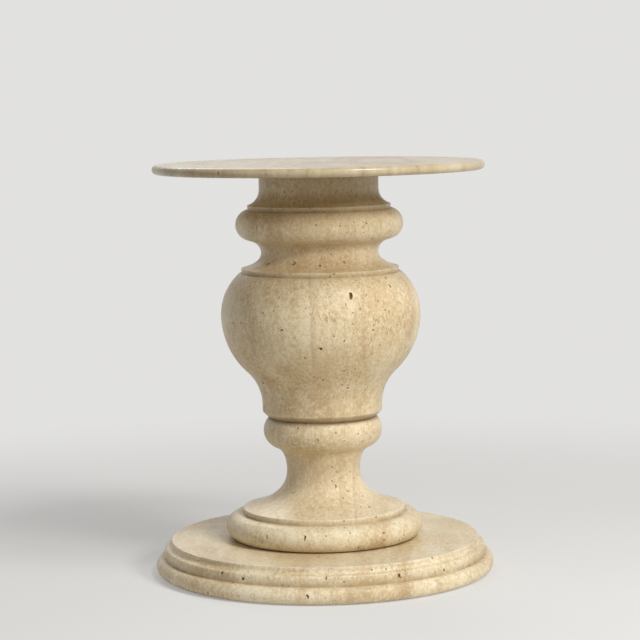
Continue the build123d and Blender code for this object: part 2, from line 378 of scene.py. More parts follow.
class StoneFinish(PropertyGroup):
    """Colours and surface of the travertine."""
    # Cream also marks the arrises as wear and painted highlight, stain the quirks as dust and painted
    # shade, and lining the joints as dirt and painted shade
    cream: colour_of("Cream", "Palest beds of the stone", (0.827, 0.726, 0.521))
    beige: colour_of("Beige", "Main colour of the stone", (0.700, 0.581, 0.372))
    tan: colour_of("Tan", "Darker beds and clouds", (0.562, 0.418, 0.241))
    blush: colour_of("Blush", "Warm clouds", (0.636, 0.479, 0.281))
    vein: colour_of("Vein", "Thin upright veins and dashes", (0.430, 0.285, 0.145))
    rust: colour_of("Rust", "Orange-brown stain", (0.430, 0.255, 0.095))
    stain: colour_of("Stain", "Brown stains and dust in the quirks", (0.365, 0.245, 0.110))
    pore: colour_of("Pore", "Fine open pores", (0.235, 0.155, 0.072))
    lining: colour_of("Lining", "Inside of the pits", (0.250, 0.165, 0.078))
    urn_tint: colour_of("Urn tint", "Warmer colour of the urn's block", (0.943, 0.909, 0.855))
    # Partly the polished stone's deeper tone, partly painted shade that stands for a dimmer, greyer
    # reflection
    plate_tone_and_shade: colour_of("Plate tint", "Deeper colour of the polished plate", (0.717, 0.691, 0.650))
    honed: share_of("Honed roughness", "Roughness of the turned faces", 0.40)
    polished: share_of("Polished roughness", "Roughness of the plate", 0.24)
    arris: size_of("Arris", "Rounding of outer corners", 0.0011)
    crevice: size_of("Crevice", "Rounding of inner corners", 0.0005)
    wander: size_of("Wander", "How far a turned face wanders from true", 0.00025)


class SteelFinish(PropertyGroup):
    """Zinc plating of the fixings."""
    zinc: colour_of("Zinc", "Bright plating", (0.62, 0.62, 0.60))
    dull: colour_of("Dull zinc", "Weathered plating", (0.43, 0.43, 0.42))


class StudioSettings(PropertyGroup):
    """Camera, lamps, floor and background."""
    lens: FloatProperty(
        name="Lens", description="Focal length on a 36 mm sensor", default=125.34, unit="CAMERA",
    )
    stand: FloatVectorProperty(
        name="Stand", description="Where the camera stands", default=(-0.0016, -3.9139, 0.8552),
        size=3, unit="LENGTH", subtype="TRANSLATION", precision=4,
    )
    pitch: angle_of("Pitch", "How far the camera looks down", 0.1043)
    roll: angle_of("Roll", "How far the camera leans", -0.0178)
    key_power: power_of("Key power", "Soft key lamp, front right", 82.0)
    glint_power: power_of("Glint power", "Higher lamp, front right, for gloss", 52.0)
    fill_power: power_of("Fill power", "Wide fill lamp, front left", 7.0)
    back_power: power_of("Back power", "Lamp behind and above", 20.0)
    ambient: FloatProperty(
        name="Ambient", description="Light from all round", default=0.22, min=0.0,
    )
    floor: colour_of("Floor", "Pale studio floor", (0.80, 0.79, 0.765))
    backdrop: colour_of("Backdrop", "Pale background", (0.76, 0.755, 0.74))
    floor_lift: share_of("Floor lift", "How far the floor is seen as the background's colour", 0.4)
    floor_radius: size_of("Floor radius", "Where the floor has faded out", 2.1)


def group_of(kind, name):
    """A group of settings, described by its own docstring."""
    return PointerProperty(type=kind, name=name, description=kind.__doc__)


class PedestalSettings(PropertyGroup):
    """All sizes and finishes of the pedestal."""
    plinth: group_of(PlinthSizes, "Plinth")
    foot: group_of(FootSizes, "Foot")
    urn: group_of(UrnSizes, "Urn")
    plate: group_of(PlateSizes, "Plate")
    fixing: group_of(FixingSizes, "Fixings")
    stone: group_of(StoneFinish, "Stone")
    steel: group_of(SteelFinish, "Steel")
    studio: group_of(StudioSettings, "Studio")


# Sections


def polar(length, angle):
    """Step of a length, at an angle from outwards towards upwards."""
    return Vector((cos(angle), sin(angle))) * length


class Section:
    """Half section of a turned stone, drawn moulding by moulding as radius and height points."""

    def __init__(self, radius, level):
        self.points = [Vector((radius, level))]

    @property
    def here(self):
        """Where the section has got to."""
        return self.points[-1]

    def line(self, radius, level):
        """Straight run to a point, with a support point near each end."""
        start = self.here
        run = Vector((radius, level)) - start
        middle = run.length - 2 * SUPPORT
        stops = []
        if middle > SUPPORT:
            count = ceil(middle / FLAT_STEP)
            stops = [(SUPPORT + middle * i / count) / run.length for i in range(count + 1)]
        self.points += [start + run * stop for stop in stops + [1.0]]
        return self

    def step(self, outward, upward):
        """Straight run by a distance."""
        return self.line(self.here.x + outward, self.here.y + upward)

    def arc(self, round_radius, start, end):
        """Round moulding that goes on from here, between two angles from the outward direction."""
        turn = end - start
        centre = self.here - polar(round_radius, start)
        count = ceil(max(abs(turn) * round_radius / ROUND_STEP, abs(turn) / ROUND_TURN))
        self.points += [centre + polar(round_radius, start + turn * i / count) for i in range(1, count + 1)]
        return self

    def hollow(self, waist, end, slope, underside):
        """Hollow that leaves its lip at a slope, passes a waist and runs up into a round's underside.

        Its two cubic spans share slope and curvature at the waist.
        """
        start, waist, end = self.here, Vector(waist), Vector(end)
        lower, upper = (waist - start).length, (end - waist).length
        lower_slope, upper_slope = (waist - start) / lower, (end - waist) / upper
        bend = (upper_slope - lower_slope) / (lower + upper)
        leaving = Vector((-cos(slope), sin(slope))) * (lower_slope - bend * lower).length
        arriving = Vector((sin(underside), cos(underside))) * (upper_slope + bend * upper).length
        pull = 3 * (lower_slope * upper + upper_slope * lower)
        passing = (pull - leaving * upper - arriving * lower) / (2 * (lower + upper))
        self.cubic(waist, leaving * lower, passing * lower)
        self.cubic(end, passing * upper, arriving * upper)
        return self

    def cubic(self, end, leaving, arriving):
        """One cubic span from here, by its end point and end slopes."""
        start = self.here
        count = ceil((end - start).length / ROUND_STEP)
        for i in range(1, count + 1):
            t = i / count
            s = 1 - t
            self.points.append(
                start * (s * s * (1 + 2 * t)) + leaving * (s * s * t)
                + end * (t * t * (1 + 2 * s)) - arriving * (t * t * s)
            )


def plinth_section(sizes, fixing):
    """Visible wall of the plinth, then its top bed, bore and nut pocket."""
    nose = sizes.bullnose_height / 2
    nose_radius = sizes.radius - nose
    section = Section(nose_radius, floor_level)
    section.arc(nose, -pi / 2, pi / 2)
    section.step(-sizes.quirk, 0).step(0, sizes.band_height)
    section.arc(sizes.ovolo_radius, 0, pi / 2)
    section.arc(sizes.cavetto_radius, -pi / 2, -pi)
    section.line(section.here.x, plinth_bed)
    wall = list(section.points)
    section.line(fixing.bore_radius, plinth_bed).line(fixing.bore_radius, lower_pocket_floor)
    section.line(fixing.pocket_radius, lower_pocket_floor).line(fixing.pocket_radius, floor_level)
    section.line(nose_radius, floor_level)
    return wall, section.points[:-1]


def foot_joint(sizes):
    """Corner where the foot's torus stands on the plinth."""
    return (sizes.radius - sizes.torus_round, plinth_bed)


def foot_section(sizes, joint_radius, fixing):
    """Visible wall of the foot, then its top bed and bore."""
    section = Section(*foot_joint(sizes))
    section.arc(sizes.torus_round, -pi / 2, pi / 2)
    section.step(-sizes.ledge, 0).step(0, sizes.fillet_height)
    waist_level = section.here.y + sizes.flare_height
    bead_centre = Vector((sizes.bead_radius - sizes.bead_round, waist_level + sizes.waist_to_bead))
    bead_start = -sizes.bead_underside
    section.hollow(
        (sizes.waist_radius, waist_level), bead_centre + polar(sizes.bead_round, bead_start),
        sizes.flare_slope, sizes.bead_underside,
    )
    bead_end = atan2(foot_bed - bead_centre.y, joint_radius - bead_centre.x)
    section.arc(sizes.bead_round, bead_start, bead_end)
    wall = list(section.points)
    section.line(fixing.bore_radius, foot_bed).line(fixing.bore_radius, plinth_bed)
    section.line(*foot_joint(sizes))
    return wall, section.points[:-1]


def urn_section(sizes, fixing):
    """Visible wall of the urn, then its top bed, nut pocket and bore."""
    # A hollow above the lip runs tangent into the belly
    offset = sizes.joint_radius + sizes.undercut - (sizes.belly_radius - sizes.belly_round)
    hollow_round = (offset**2 + sizes.belly_height**2 - sizes.belly_round**2) / (
        2 * (sizes.belly_round - offset)
    )
    belly_start = -atan2(sizes.belly_height, offset + hollow_round)
    section = Section(sizes.joint_radius, foot_bed)
    section.step(sizes.undercut, sizes.undercut).step(0, sizes.lip_height)
    section.arc(hollow_round, pi, pi + belly_start)
    section.arc(sizes.belly_round, belly_start, 0)
    section.arc(sizes.shoulder_round, 0, asin(sizes.shoulder_height / sizes.shoulder_round))
    section.step(-sizes.shoulder_quirk, 0).step(0, sizes.fillet_height)

    # The scotia runs tangent into the collar
    waist_level = section.here.y + sizes.scotia_lower
    cap_radius = sizes.neck_radius + sizes.cavetto_projection + sizes.collar_quirk
    collar_radius = cap_radius - sizes.collar_round * cos(sizes.collar_cap)
    collar_centre = Vector((collar_radius, waist_level + sizes.scotia_upper))
    collar_start = -sizes.collar_underside
    section.hollow(
        (sizes.scotia_waist, waist_level), collar_centre + polar(sizes.collar_round, collar_start),
        sizes.scotia_slope, sizes.collar_underside,
    )
    section.arc(sizes.collar_round, collar_start, sizes.collar_cap)
    section.step(-sizes.collar_quirk, 0).step(0, sizes.neck_fillet)

    # The cavetto runs tangent into the neck
    reach, rise = sizes.cavetto_projection, sizes.cavetto_height
    cavetto_round = (reach**2 + rise**2) / (2 * reach)
    section.arc(cavetto_round, atan2(-rise, reach - cavetto_round), -pi)
    section.line(sizes.neck_radius, urn_bed)
    wall = list(section.points)
    section.line(fixing.pocket_radius, urn_bed).line(fixing.pocket_radius, upper_pocket_floor)
    section.line(fixing.bore_radius, upper_pocket_floor).line(fixing.bore_radius, foot_bed)
    section.line(sizes.joint_radius, foot_bed)
    return wall, section.points[:-1]


def plate_section(sizes, neck_radius):
    """Visible wall of the plate, from the neck out over the edge and back in along the top."""
    half = (table_bed - urn_bed) / 2
    section = Section(0, urn_bed)
    section.line(neck_radius, urn_bed).line(sizes.radius - half, urn_bed)
    section.arc(half, -pi / 2, pi / 2)
    section.line(0, table_bed)
    wall = [point for point in section.points if point.x > neck_radius]
    return wall, section.points


# Turning


def ease_corners(loop, arris, crevice):
    """Rounds the corners of a closed section. Also returns the corners that stand out and lie in."""
    eased, standing, lying = [], [], []
    for i, here in enumerate(loop):
        arriving = here - loop[i - 1]
        leaving = loop[(i + 1) % len(loop)] - here
        turn = atan2(arriving.x * leaving.y - arriving.y * leaving.x, arriving.dot(leaving))
        if here.x == 0 or abs(turn) < CORNER_TURN:
            eased.append(here)
            continue
        room = min(arriving.length, leaving.length) * EASE_ROOM
        back = min(arris if turn > 0 else crevice, room)
        first = here - arriving.normalized() * back
        last = here + leaving.normalized() * back
        for k in range(EASE_STEPS + 1):
            t = k / EASE_STEPS
            eased.append(first * (1 - t) ** 2 + here * (2 * t * (1 - t)) + last * t**2)
        (standing if turn > 0 else lying).append(here)
    return eased, standing, lying


def on_ring(radius, angle, level):
    """Point at a radius and an angle round the axis."""
    return Vector((radius * cos(angle), radius * sin(angle), level))


def skin(rings, closed=False):
    """Vertices and faces of a skin over rings of points, where a single point stands on the axis."""
    segments = max(len(ring) for ring in rings)
    verts, numbers, faces = [], [], []
    for ring in rings:
        start = len(verts)
        numbers.append([start] * segments if len(ring) == 1 else range(start, start + segments))
        verts += ring
    for i in range(len(rings) if closed else len(rings) - 1):
        near, far = i, (i + 1) % len(rings)
        if len(rings[near]) == len(rings[far]) == 1:
            continue
        for k in range(segments):
            n = (k + 1) % segments
            corners = (numbers[near][k], numbers[near][n], numbers[far][n], numbers[far][k])
            faces.append(tuple(dict.fromkeys(corners)))
    return verts, faces


def turn_section(loop, segments, wander, seed):
    """Vertices and faces of a closed section turned about the axis, wandering a little from true."""
    rings = []
    phase = Vector([seed * step for step in WANDER_STEP])
    for point in loop:
        ring = []
        for k in range(segments if point.x else 1):
            place = on_ring(point.x, tau * k / segments, point.y)
            if point.x:
                drift = 1 + wander * noise.noise(place * WANDER_SCALE + phase) / point.x
                place = Vector((place.x * drift, place.y * drift, place.z))
            ring.append(place)
        rings.append(ring)
    return skin(rings, closed=True)


def add_object(name, data):
    """Adds an object to the scene."""
    item = bpy.data.objects.new(name, data)
    bpy.context.scene.collection.objects.link(item)
    return item


def add_mesh(name, verts, faces, finish):
    """Adds an object from its vertices and faces, in one finish."""
    mesh = bpy.data.meshes.new(name)
    mesh.from_pydata(verts, [], faces)
    mesh.materials.append(finish)
    return add_object(name, mesh)


def smooth(mesh):
    """Shades a mesh as round, apart from its sharp edges."""
    mesh.polygons.foreach_set("use_smooth", [True] * len(mesh.polygons))
    mesh.set_sharp_from_angle(angle=SHARP_TURN)


# Pits


def camera_turn(studio):
    """Rotation of the camera from its pitch and roll."""
    return Quaternion((1, 0, 0), pi / 2 - studio.pitch) @ Quaternion((0, 0, 1), studio.roll)


def sight_line(studio, across, down):
    """Direction from the camera through a pixel of the photograph."""
    focal = studio.lens / SENSOR_WIDTH * PHOTO_SIDE
    half = PHOTO_SIDE / 2
    return camera_turn(studio) @ Vector(((across - half) / focal, (half - down) / focal, -1)).normalized()


def pit_axes(normal):
    """Side and long direction of a pit: the stone's beds stand upright and run from front to back."""
    along = Vector((0, 0, 1)) if abs(normal.z) < FLAT_FACE else Vector((0, 1, 0))
    along = (along - normal * along.dot(normal)).normalized()
    return along.cross(normal), along


class PitCutters:
    """Lumpy blobs that are cut out of a stone, in sets that don't overlap themselves."""

    def __init__(self, rng):
        self.rng = rng
        self.sets = [bmesh.new() for _ in ("leaf", "lower lobe", "upper lobe")]
        self.taken = []

    def free(self, place, reach):
        """Whether no other pit is near."""
        return all((place - other).length > (reach + room) * PIT_SPACING for other, room in self.taken)

    def blob(self, lobe, place, normal, width, height, depth):
        """Adds one lumpy blob to a set."""
        lean = Quaternion(normal, self.rng.uniform(-PIT_LEAN, PIT_LEAN))
        side, along = (lean @ axis for axis in pit_axes(normal))
        shape = Matrix((side * width / 2, along * height / 2, normal * depth)).transposed()
        phase = Vector([self.rng.uniform(0, PATTERN_ROOM) for _ in range(3)])
        fine = FINE_DIVISIONS if height > FINE_PIT else BLOB_DIVISIONS
        taper = self.rng.uniform(-PIT_TAPER, PIT_TAPER)
        middle = place + normal * depth * PIT_SINK
        for vert in bmesh.ops.create_icosphere(self.sets[lobe], subdivisions=fine, radius=1)["verts"]:
            lumps = [share * noise.noise(vert.co * scale + phase) for scale, share in PIT_LUMPS]
            spread = vert.co * (1 + sum(lumps))
            spread.x *= 1 + taper * spread.y
            vert.co = middle + shape @ spread

    def pit(self, place, normal, width, height):
        """Adds a pit: one blob if it is small, or a leaf with a smaller lobe at each end."""
        depth = width * self.rng.uniform(*PIT_DEPTH)
        self.taken.append((place, max(width, height) * PIT_ROOM))
        if max(width, height) < PLAIN_PIT:
            self.blob(0, place, normal, width, height, depth)
            return
        side, along = pit_axes(normal)
        self.blob(0, place, normal, width * LEAF_WIDTH, height * LEAF_HEIGHT, depth)
        for lobe, end in ((1, -1), (2, 1)):
            shift = along * (height * end * self.rng.uniform(*LOBE_ALONG))
            shift += side * (width * self.rng.uniform(*LOBE_ASIDE))
            size = self.rng.uniform(*LOBE_SIZE)
            self.blob(lobe, place + shift, normal, width * size, height * size * LOBE_HEIGHT, depth * size)

    def scatter(self, stand, wall, block):
        """Adds more pits all round, in streaks along the beds, and only small ones towards the camera."""
        spans = list(zip(wall, wall[1:]))
        weights = [(b - a).length * (a.x + b.x) for a, b in spans]
        left = block.pits
        tries = 0
        while left > 0 and tries < MOST_TRIES:
            tries += 1
            (a, b), = self.rng.choices(spans, weights)
            point = a.lerp(b, self.rng.random())
            out = Vector(((b - a).y, -(b - a).x)).normalized()
            around = self.rng.uniform(0, tau)
            place = on_ring(point.x, around, point.y)
            normal = on_ring(out.x, around, out.y)
            if noise.noise(place * STREAK_SCALE) < self.rng.uniform(*STREAK_LIMITS):
                continue
            width = min(PIT_WIDTH * self.rng.lognormvariate(0, PIT_SPREAD), block.largest_pit)
            stretch = self.rng.uniform(*PIT_STRETCH)
            if normal.dot(stand - place) > 0:
                width = min(width * FRONT_SHARE, FRONT_WIDTH)
            if self.free(place, width * stretch * PIT_ROOM):
                self.pit(place, normal, width, width * stretch)
                left -= 1


def dowel_cutters(fixing, bottom, top):
    """Upright cylinders where the dowels stand."""
    bm = bmesh.new()
    for k in range(DOWEL_COUNT):
        place = on_ring(fixing.dowel_circle, tau * k / DOWEL_COUNT, (bottom + top) / 2)
        bmesh.ops.create_cone(
            bm, cap_ends=True, segments=DOWEL_SEGMENTS, radius1=fixing.dowel_hole,
            radius2=fixing.dowel_hole, depth=top - bottom, matrix=Matrix.Translation(place),
        )
    return bm


def carve(stone, bm, finish):
    """Cuts the shapes in a bmesh out of a stone, and lines the cuts with a finish."""
    mesh = bpy.data.meshes.new("cutter")
    bm.to_mesh(mesh)
    bm.free()
    mesh.materials.append(finish)
    cutter = add_object("cutter", mesh)
    cut = stone.modifiers.new("cut", "BOOLEAN")
    cut.operation = "DIFFERENCE"
    cut.solver = "MANIFOLD"
    cut.material_mode = "TRANSFER"
    cut.object = cutter
    bpy.context.view_layer.update()
    graph = bpy.context.evaluated_depsgraph_get()
    carved = bpy.data.meshes.new_from_object(stone.evaluated_get(graph), depsgraph=graph)
    stone.modifiers.clear()
    old = stone.data
    stone.data = carved
    bpy.data.objects.remove(cutter)
    bpy.data.meshes.remove(mesh)
    bpy.data.meshes.remove(old)


def mark_corners(mesh, name, corners):
    """Stores how near each vertex lies to corners of the section, each with its own reach."""
    places = np.empty(len(mesh.vertices) * 3, np.float32)
    mesh.vertices.foreach_get("co", places)
    places = places.reshape(-1, 3)
    radius = np.hypot(places[:, 0], places[:, 1])
    nearness = np.zeros(len(radius), np.float32)
    for corner, reach in corners:
        distance = np.hypot(radius - corner[0], places[:, 2] - corner[1])
        nearness = np.maximum(nearness, np.exp(-((distance / reach) ** 2)))
    layer = mesh.attributes.new(name, "FLOAT", "POINT")
    layer.data.foreach_set("value", nearness.astype(np.float32))


class Stone:
    """One turned stone: its section, its pits and its finish."""

    def __init__(self, settings, node, block, wall, loop, segments, joints):
        self.settings = settings
        self.node = node
        self.name = f"{node}_stone"
        self.block = block
        self.wall = wall
        self.joints = joints
        finish = settings.stone
        eased, self.standing, self.lying = ease_corners(loop, finish.arris, finish.crevice)
        self.verts, self.faces = turn_section(eased, segments, finish.wander, block.seed)
        self.surface = BVHTree.FromPolygons(self.verts, self.faces)
        self.pits = PitCutters(Random(block.seed))

    def sight(self, across, down):
        """Place and normal of the stone at a pixel of the photograph."""
        studio = self.settings.studio
        place, normal, _, _ = self.surface.ray_cast(Vector(studio.stand), sight_line(studio, across, down))
        if place is None:
            raise RuntimeError(f"{self.name} isn't at pixel {across}, {down}")
        return place, normal

    def spots(self, rows):
        """Places and reaches of what the photograph shows, with the rest of each row."""
        return [
            (self.sight(across, down)[0], reach / MILLIMETRES, *rest) for across, down, reach, *rest in rows
        ]

    def add_pits(self, *groups):
        """Adds the pits that the photograph shows, then more on all sides."""
        for group in groups:
            for across, down, width, height in group:
                self.pits.pit(*self.sight(across, down), width / MILLIMETRES, height / MILLIMETRES)
        self.pits.scatter(Vector(self.settings.studio.stand), self.wall, self.block)

    def build(self, finish, holes=None):
        """Makes the stone in place of its CAD node."""
        stone = add_mesh(self.name, self.verts, self.faces, finish)
        bm = bmesh.new()
        bm.from_mesh(stone.data)
        bmesh.ops.recalc_face_normals(bm, faces=bm.faces)
        bm.to_mesh(stone.data)
        bm.free()
        if holes:
            carve(stone, holes, finish)
        lining = shared_finish("pit_lining", paint_pit_lining, self.settings.stone)
        for cutters in self.pits.sets:
            if cutters.verts:
                carve(stone, cutters, lining)
        stone.data.name = self.name
        smooth(stone.data)
        # Nearness to corners, for painting: arrises lighter as wear and painted highlight, quirks and
        # joints darker as dust, dirt and painted shade
        mark_corners(stone.data, "arris", [(corner, ARRIS_WEAR_AND_HIGHLIGHT_REACH) for corner in self.standing])
        mark_corners(stone.data, "crevice", [(corner, CREVICE_DUST_AND_SHADE_REACH) for corner in self.lying])
        mark_corners(stone.data, "joint", self.joints)
        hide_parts(self.node)
        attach(stone, "root")


# Finishes


class Nodes:
    """Node tree of a material or the world, with short calls for the nodes that its look is mixed from."""

    def __init__(self, owner):
        owner.use_nodes = True
        self.tree = owner.node_tree
        self.tree.nodes.clear()

    def node(self, kind, **options):
        """Adds a node and sets its own options."""
        node = self.tree.nodes.new(f"ShaderNode{kind}")
        for name, value in options.items():
            setattr(node, name, value)
        return node

    def feed(self, socket, value):
        """Links a socket, or sets it if the value is a constant."""
        if isinstance(value, NodeSocket):
            self.tree.links.new(value, socket)
        elif socket.type == "RGBA":
            socket.default_value = (*value, 1.0)
        else:
            socket.default_value = value

    def feed_all(self, node, *values):
        """Feeds a node's sockets in order, and gives its outputs."""
        for socket, value in zip(node.inputs, values):
            self.feed(socket, value)
        return node.outputs

    def math(self, operation, first, second=0.0):
        """One sum on numbers."""
        return self.feed_all(self.node("Math", operation=operation), first, second)[0]

    def times(self, first, second):
        """Product of two numbers."""
        return self.math("MULTIPLY", first, second)

    def weigh(self, *terms):
        """Sum of numbers, each times its weight."""
        total = None
        for value, weight in terms:
            part = self.times(value, weight)
            total = part if total is None else self.math("ADD", total, part)
        return total

    def vector(self, operation, first, second):
        """One sum on vectors."""
        outputs = self.feed_all(self.node("VectorMath", operation=operation), first, second)
        return outputs["Value" if operation in ("LENGTH", "DISTANCE") else "Vector"]

    def axes(self, vector):
        """The three numbers of a vector."""
        return self.feed_all(self.node("SeparateXYZ"), vector)

    def noise(self, place, scale, detail=3.0, roughness=0.6, distortion=0.0, output="Fac"):
        """Cloudy number from 0 to 1."""
        node = self.node("TexNoise")
        self.feed(node.inputs["Vector"], place)
        node.inputs["Scale"].default_value = scale
        node.inputs["Detail"].default_value = detail
        node.inputs["Roughness"].default_value = roughness
        node.inputs["Distortion"].default_value = distortion
        return node.outputs[output]

    def cells(self, place, scale):
        """Distance from the nearest of many scattered points, and that point's own random number."""
        node = self.node("TexVoronoi")
        self.feed(node.inputs["Vector"], place)
        node.inputs["Scale"].default_value = scale
        chance = self.feed_all(self.node("SeparateColor"), node.outputs["Color"])[0]
        return node.outputs["Distance"], chance

    def span(self, value, low, high, start=0.0, end=1.0):
        """Maps a number from one span to another, smoothly and clamped."""
        node = self.node("MapRange", interpolation_type="SMOOTHSTEP")
        return self.feed_all(node, value, low, high, start, end)[0]

    def mix(self, share, first, second, blend="MIX"):
        """Mixes two colours."""
        node = self.node("Mix", data_type="RGBA", blend_type=blend)
        colours = [socket for socket in node.inputs if socket.type == "RGBA"]
        for socket, value in zip((node.inputs[0], *colours), (share, first, second)):
            self.feed(socket, value)
        return next(socket for socket in node.outputs if socket.type == "RGBA")

    def blend(self, share, first, second):
        """Mixes two shaders."""
        return self.feed_all(self.node("MixShader"), share, first, second)[0]

    def seen(self):
        """1 where the eye sees the thing itself, straight or mirrored, and 0 where it only gives light."""
        rays = self.node("LightPath").outputs
        mirrored = self.math("MAXIMUM", rays["Is Glossy Ray"], rays["Is Transmission Ray"])
        return self.math("MAXIMUM", rays["Is Camera Ray"], mirrored)


class Finish(Nodes):
    """Material with one surface, in the coordinates that all pieces share."""

    def __init__(self, name):
        self.material = bpy.data.materials.new(name)
        super().__init__(self.material)
        self.surface = self.node("BsdfPrincipled")
        self.output = self.node("OutputMaterial")
        self.feed(self.output.inputs["Surface"], self.surface.outputs[0])
        self.place = self.node("TexCoord").outputs["Object"]

    def coat(self, name, value):
        """Sets one property of the surface."""
        self.feed(self.surface.inputs[name], value)

    def stored(self, name):
        """Number stored on the mesh."""
        return self.node("Attribute", attribute_name=name).outputs["Fac"]

    def bump(self, height, depth, strength):
        """Raises the surface by a height from 0 to 1 times a depth."""
        node = self.node("Bump")
        node.inputs["Strength"].default_value = strength
        node.inputs["Distance"].default_value = depth
        self.feed(node.inputs["Height"], height)
        self.coat("Normal", node.outputs[0])


class Travertine(Finish):
    """Travertine, painted layer over layer. A calm stone has less figure, and broader beds."""

    def __init__(self, name, stone, block, figure, waver):
        super().__init__(name)
        self.stone = stone
        self.figure = figure
        self.spot = self.vector("ADD", self.place, block.place)
        bend = self.noise(self.spot, 6.0, roughness=0.5, output="Color")
        bend = self.vector("SUBTRACT", bend, (0.5, 0.5, 0.5))
        self.sway = self.vector("MULTIPLY", bend, (BED_SWAY * waver, CROSS_SWAY, CROSS_SWAY))
        self.beds = self.vector("ADD", self.spot, self.sway)
        self.cloud = self.noise(self.spot, 8.0, roughness=0.55)
        self.mottle = self.noise(self.drawn_beds(1.0, 0.9, 0.8), 160.0, detail=5.0, roughness=0.7)
        self.grain = self.noise(self.spot, 480.0, roughness=0.7)

    def drawn_beds(self, across, along, up):
        """Place in the beds, scaled in each direction."""
        return self.vector("MULTIPLY", self.beds, (across, along, up))

    def cover(self, share, colour):
        """Mixes a colour over what is painted so far."""
        self.colour = self.mix(share, self.colour, colour)

    def paint_beds(self):
        """Tan, beige and cream beds and clouds, with warm clouds over them."""
        calm = 1.0 - self.figure
        broad = self.noise(self.drawn_beds(30, 2.4, 2.0), 1.0, roughness=0.55)
        narrow = self.noise(self.drawn_beds(105, 17, 12), 1.0, detail=4.0)
        tone = self.weigh(
            (broad, 0.22 + 0.26 * calm), (narrow, 0.08 + 0.07 * calm),
            (self.cloud, 0.27 + 0.10 * calm), (self.mottle, 0.43 * self.figure),
        )
        self.colour = self.mix(self.span(tone, 0.42, 0.505), self.stone.tan, self.stone.beige)
        self.cover(self.span(tone, 0.49, 0.58), self.stone.cream)
        self.cover(self.span(self.noise(self.spot, 5.5), 0.46, 0.66, 0.0, 0.40), self.stone.blush)

    def paint_patches(self, patches):
        """Soft patches that stand in one place."""
        for centre, reach, colour, share in patches:
            away = self.vector("DISTANCE", self.place, centre)
            edge = self.weigh((away, 1.0), (self.mottle, reach), (self.cloud, reach * 0.6))
            self.cover(self.span(edge, reach * 0.9, reach * 1.9, share, 0.0), getattr(self.stone, colour))

    def gather_drifts(self, spots):
        """Drifts where the stone is more marked."""
        self.drifts = self.span(self.noise(self.spot, 15.0), 0.44, 0.66)
        for centre, reach in spots:
            near = self.weigh((self.vector("DISTANCE", self.place, centre), 1.0), (self.cloud, reach))
            drift = self.span(near, reach * 0.9, reach * 1.7, 1.0, 0.0)
            self.drifts = self.math("MAXIMUM", self.drifts, drift)

    def paint_grain(self):
        """Tan grain, pale crystals, and brown dashes along the beds."""
        figure = self.figure
        self.cover(self.span(self.grain, 0.46, 0.70, 0.0, 0.60 * figure), self.stone.tan)
        crystal = self.noise(self.beds, 170.0, roughness=0.65)
        self.cover(self.span(crystal, 0.56, 0.68, 0.0, 0.60 * figure), self.stone.cream)
        dash = self.span(self.noise(self.drawn_beds(1.0, 1.0, 0.40), 260.0, roughness=0.7), 0.55, 0.66)
        self.dash = self.times(dash, self.span(self.drifts, 0.0, 1.0, 0.20 * figure, 0.85 * figure))
        self.cover(self.dash, self.stone.vein)

    def paint_veins(self, veins):
        """Thin upright veins, broken here and there, with a tan halo on one side."""
        half_sway = self.vector("MULTIPLY", self.sway, (0.5, 0.0, 0.0))
        across, _, level = self.axes(self.vector("ADD", self.place, half_sway))
        for middle, low, high, strength in veins:
            gap = self.math("SUBTRACT", across, middle)
            line = self.span(self.math("ABSOLUTE", gap), VEIN_CORE, VEIN_EDGE, strength, 0.0)
            halo = self.times(self.span(gap, *HALO_START), self.span(gap, *HALO_END, HALO_SHARE, 0.0))
            foot_end = self.span(level, low - VEIN_TAPER, low + VEIN_TAPER)
            head_end = self.span(level, high - VEIN_HEAD, high + VEIN_TAPER, 1.0, 0.0)
            reach = self.times(foot_end, head_end)
            breaks = self.span(self.noise(self.beds, 46.0, roughness=0.5), 0.38, 0.60, 0.15, 1.0)
            self.cover(self.times(line, self.times(reach, breaks)), self.stone.vein)
            self.cover(self.times(halo, reach), self.stone.tan)

    def paint_pores(self):
        """Brown stains, and fine open pores in the drifts and streaks."""
        stain = self.noise(self.spot, 11.0, detail=4.0, roughness=0.65, distortion=0.4)
        self.cover(self.span(stain, 0.58, 0.76, 0.0, 0.36), self.stone.stain)
        distance, chance = self.cells(self.drawn_beds(1.0, 1.0, 0.45), 290.0)
        pore = self.times(self.span(distance, 0.10, 0.36, 1.0, 0.0), self.span(chance, 0.80, 0.88))
        streaks = self.noise(self.drawn_beds(60, 7, 5), 1.0, detail=2.0, roughness=0.5)
        marked = self.math("MAXIMUM", self.drifts, self.span(streaks, 0.54, 0.66))
        self.pore = self.times(pore, marked)
        self.cover(self.times(self.pore, 0.66 * self.figure), self.stone.pore)

    def paint_wear_and_shade(self):
        """Arrises lighter for rubbing wear and a painted highlight; quirks and joints darker for dust, dirt
        and painted shade.
        """
        # Arrises painted in cream for wear and painted highlight; quirks in stain and joints in lining for
        # dust, dirt and painted shade
        wear = (
            ("arris", 70.0, (0.35, 0.65, 0.1, 0.75), self.stone.cream),
            ("crevice", 34.0, (0.30, 0.70, 0.35, 0.85), self.stone.stain),
            ("joint", 20.0, (0.30, 0.70, 0.75, 1.0), self.stone.lining),
        )
        for corner, scale, limits, colour in wear:
            share = self.span(self.noise(self.spot, scale), *limits)
            self.cover(self.times(self.stored(corner), share), colour)

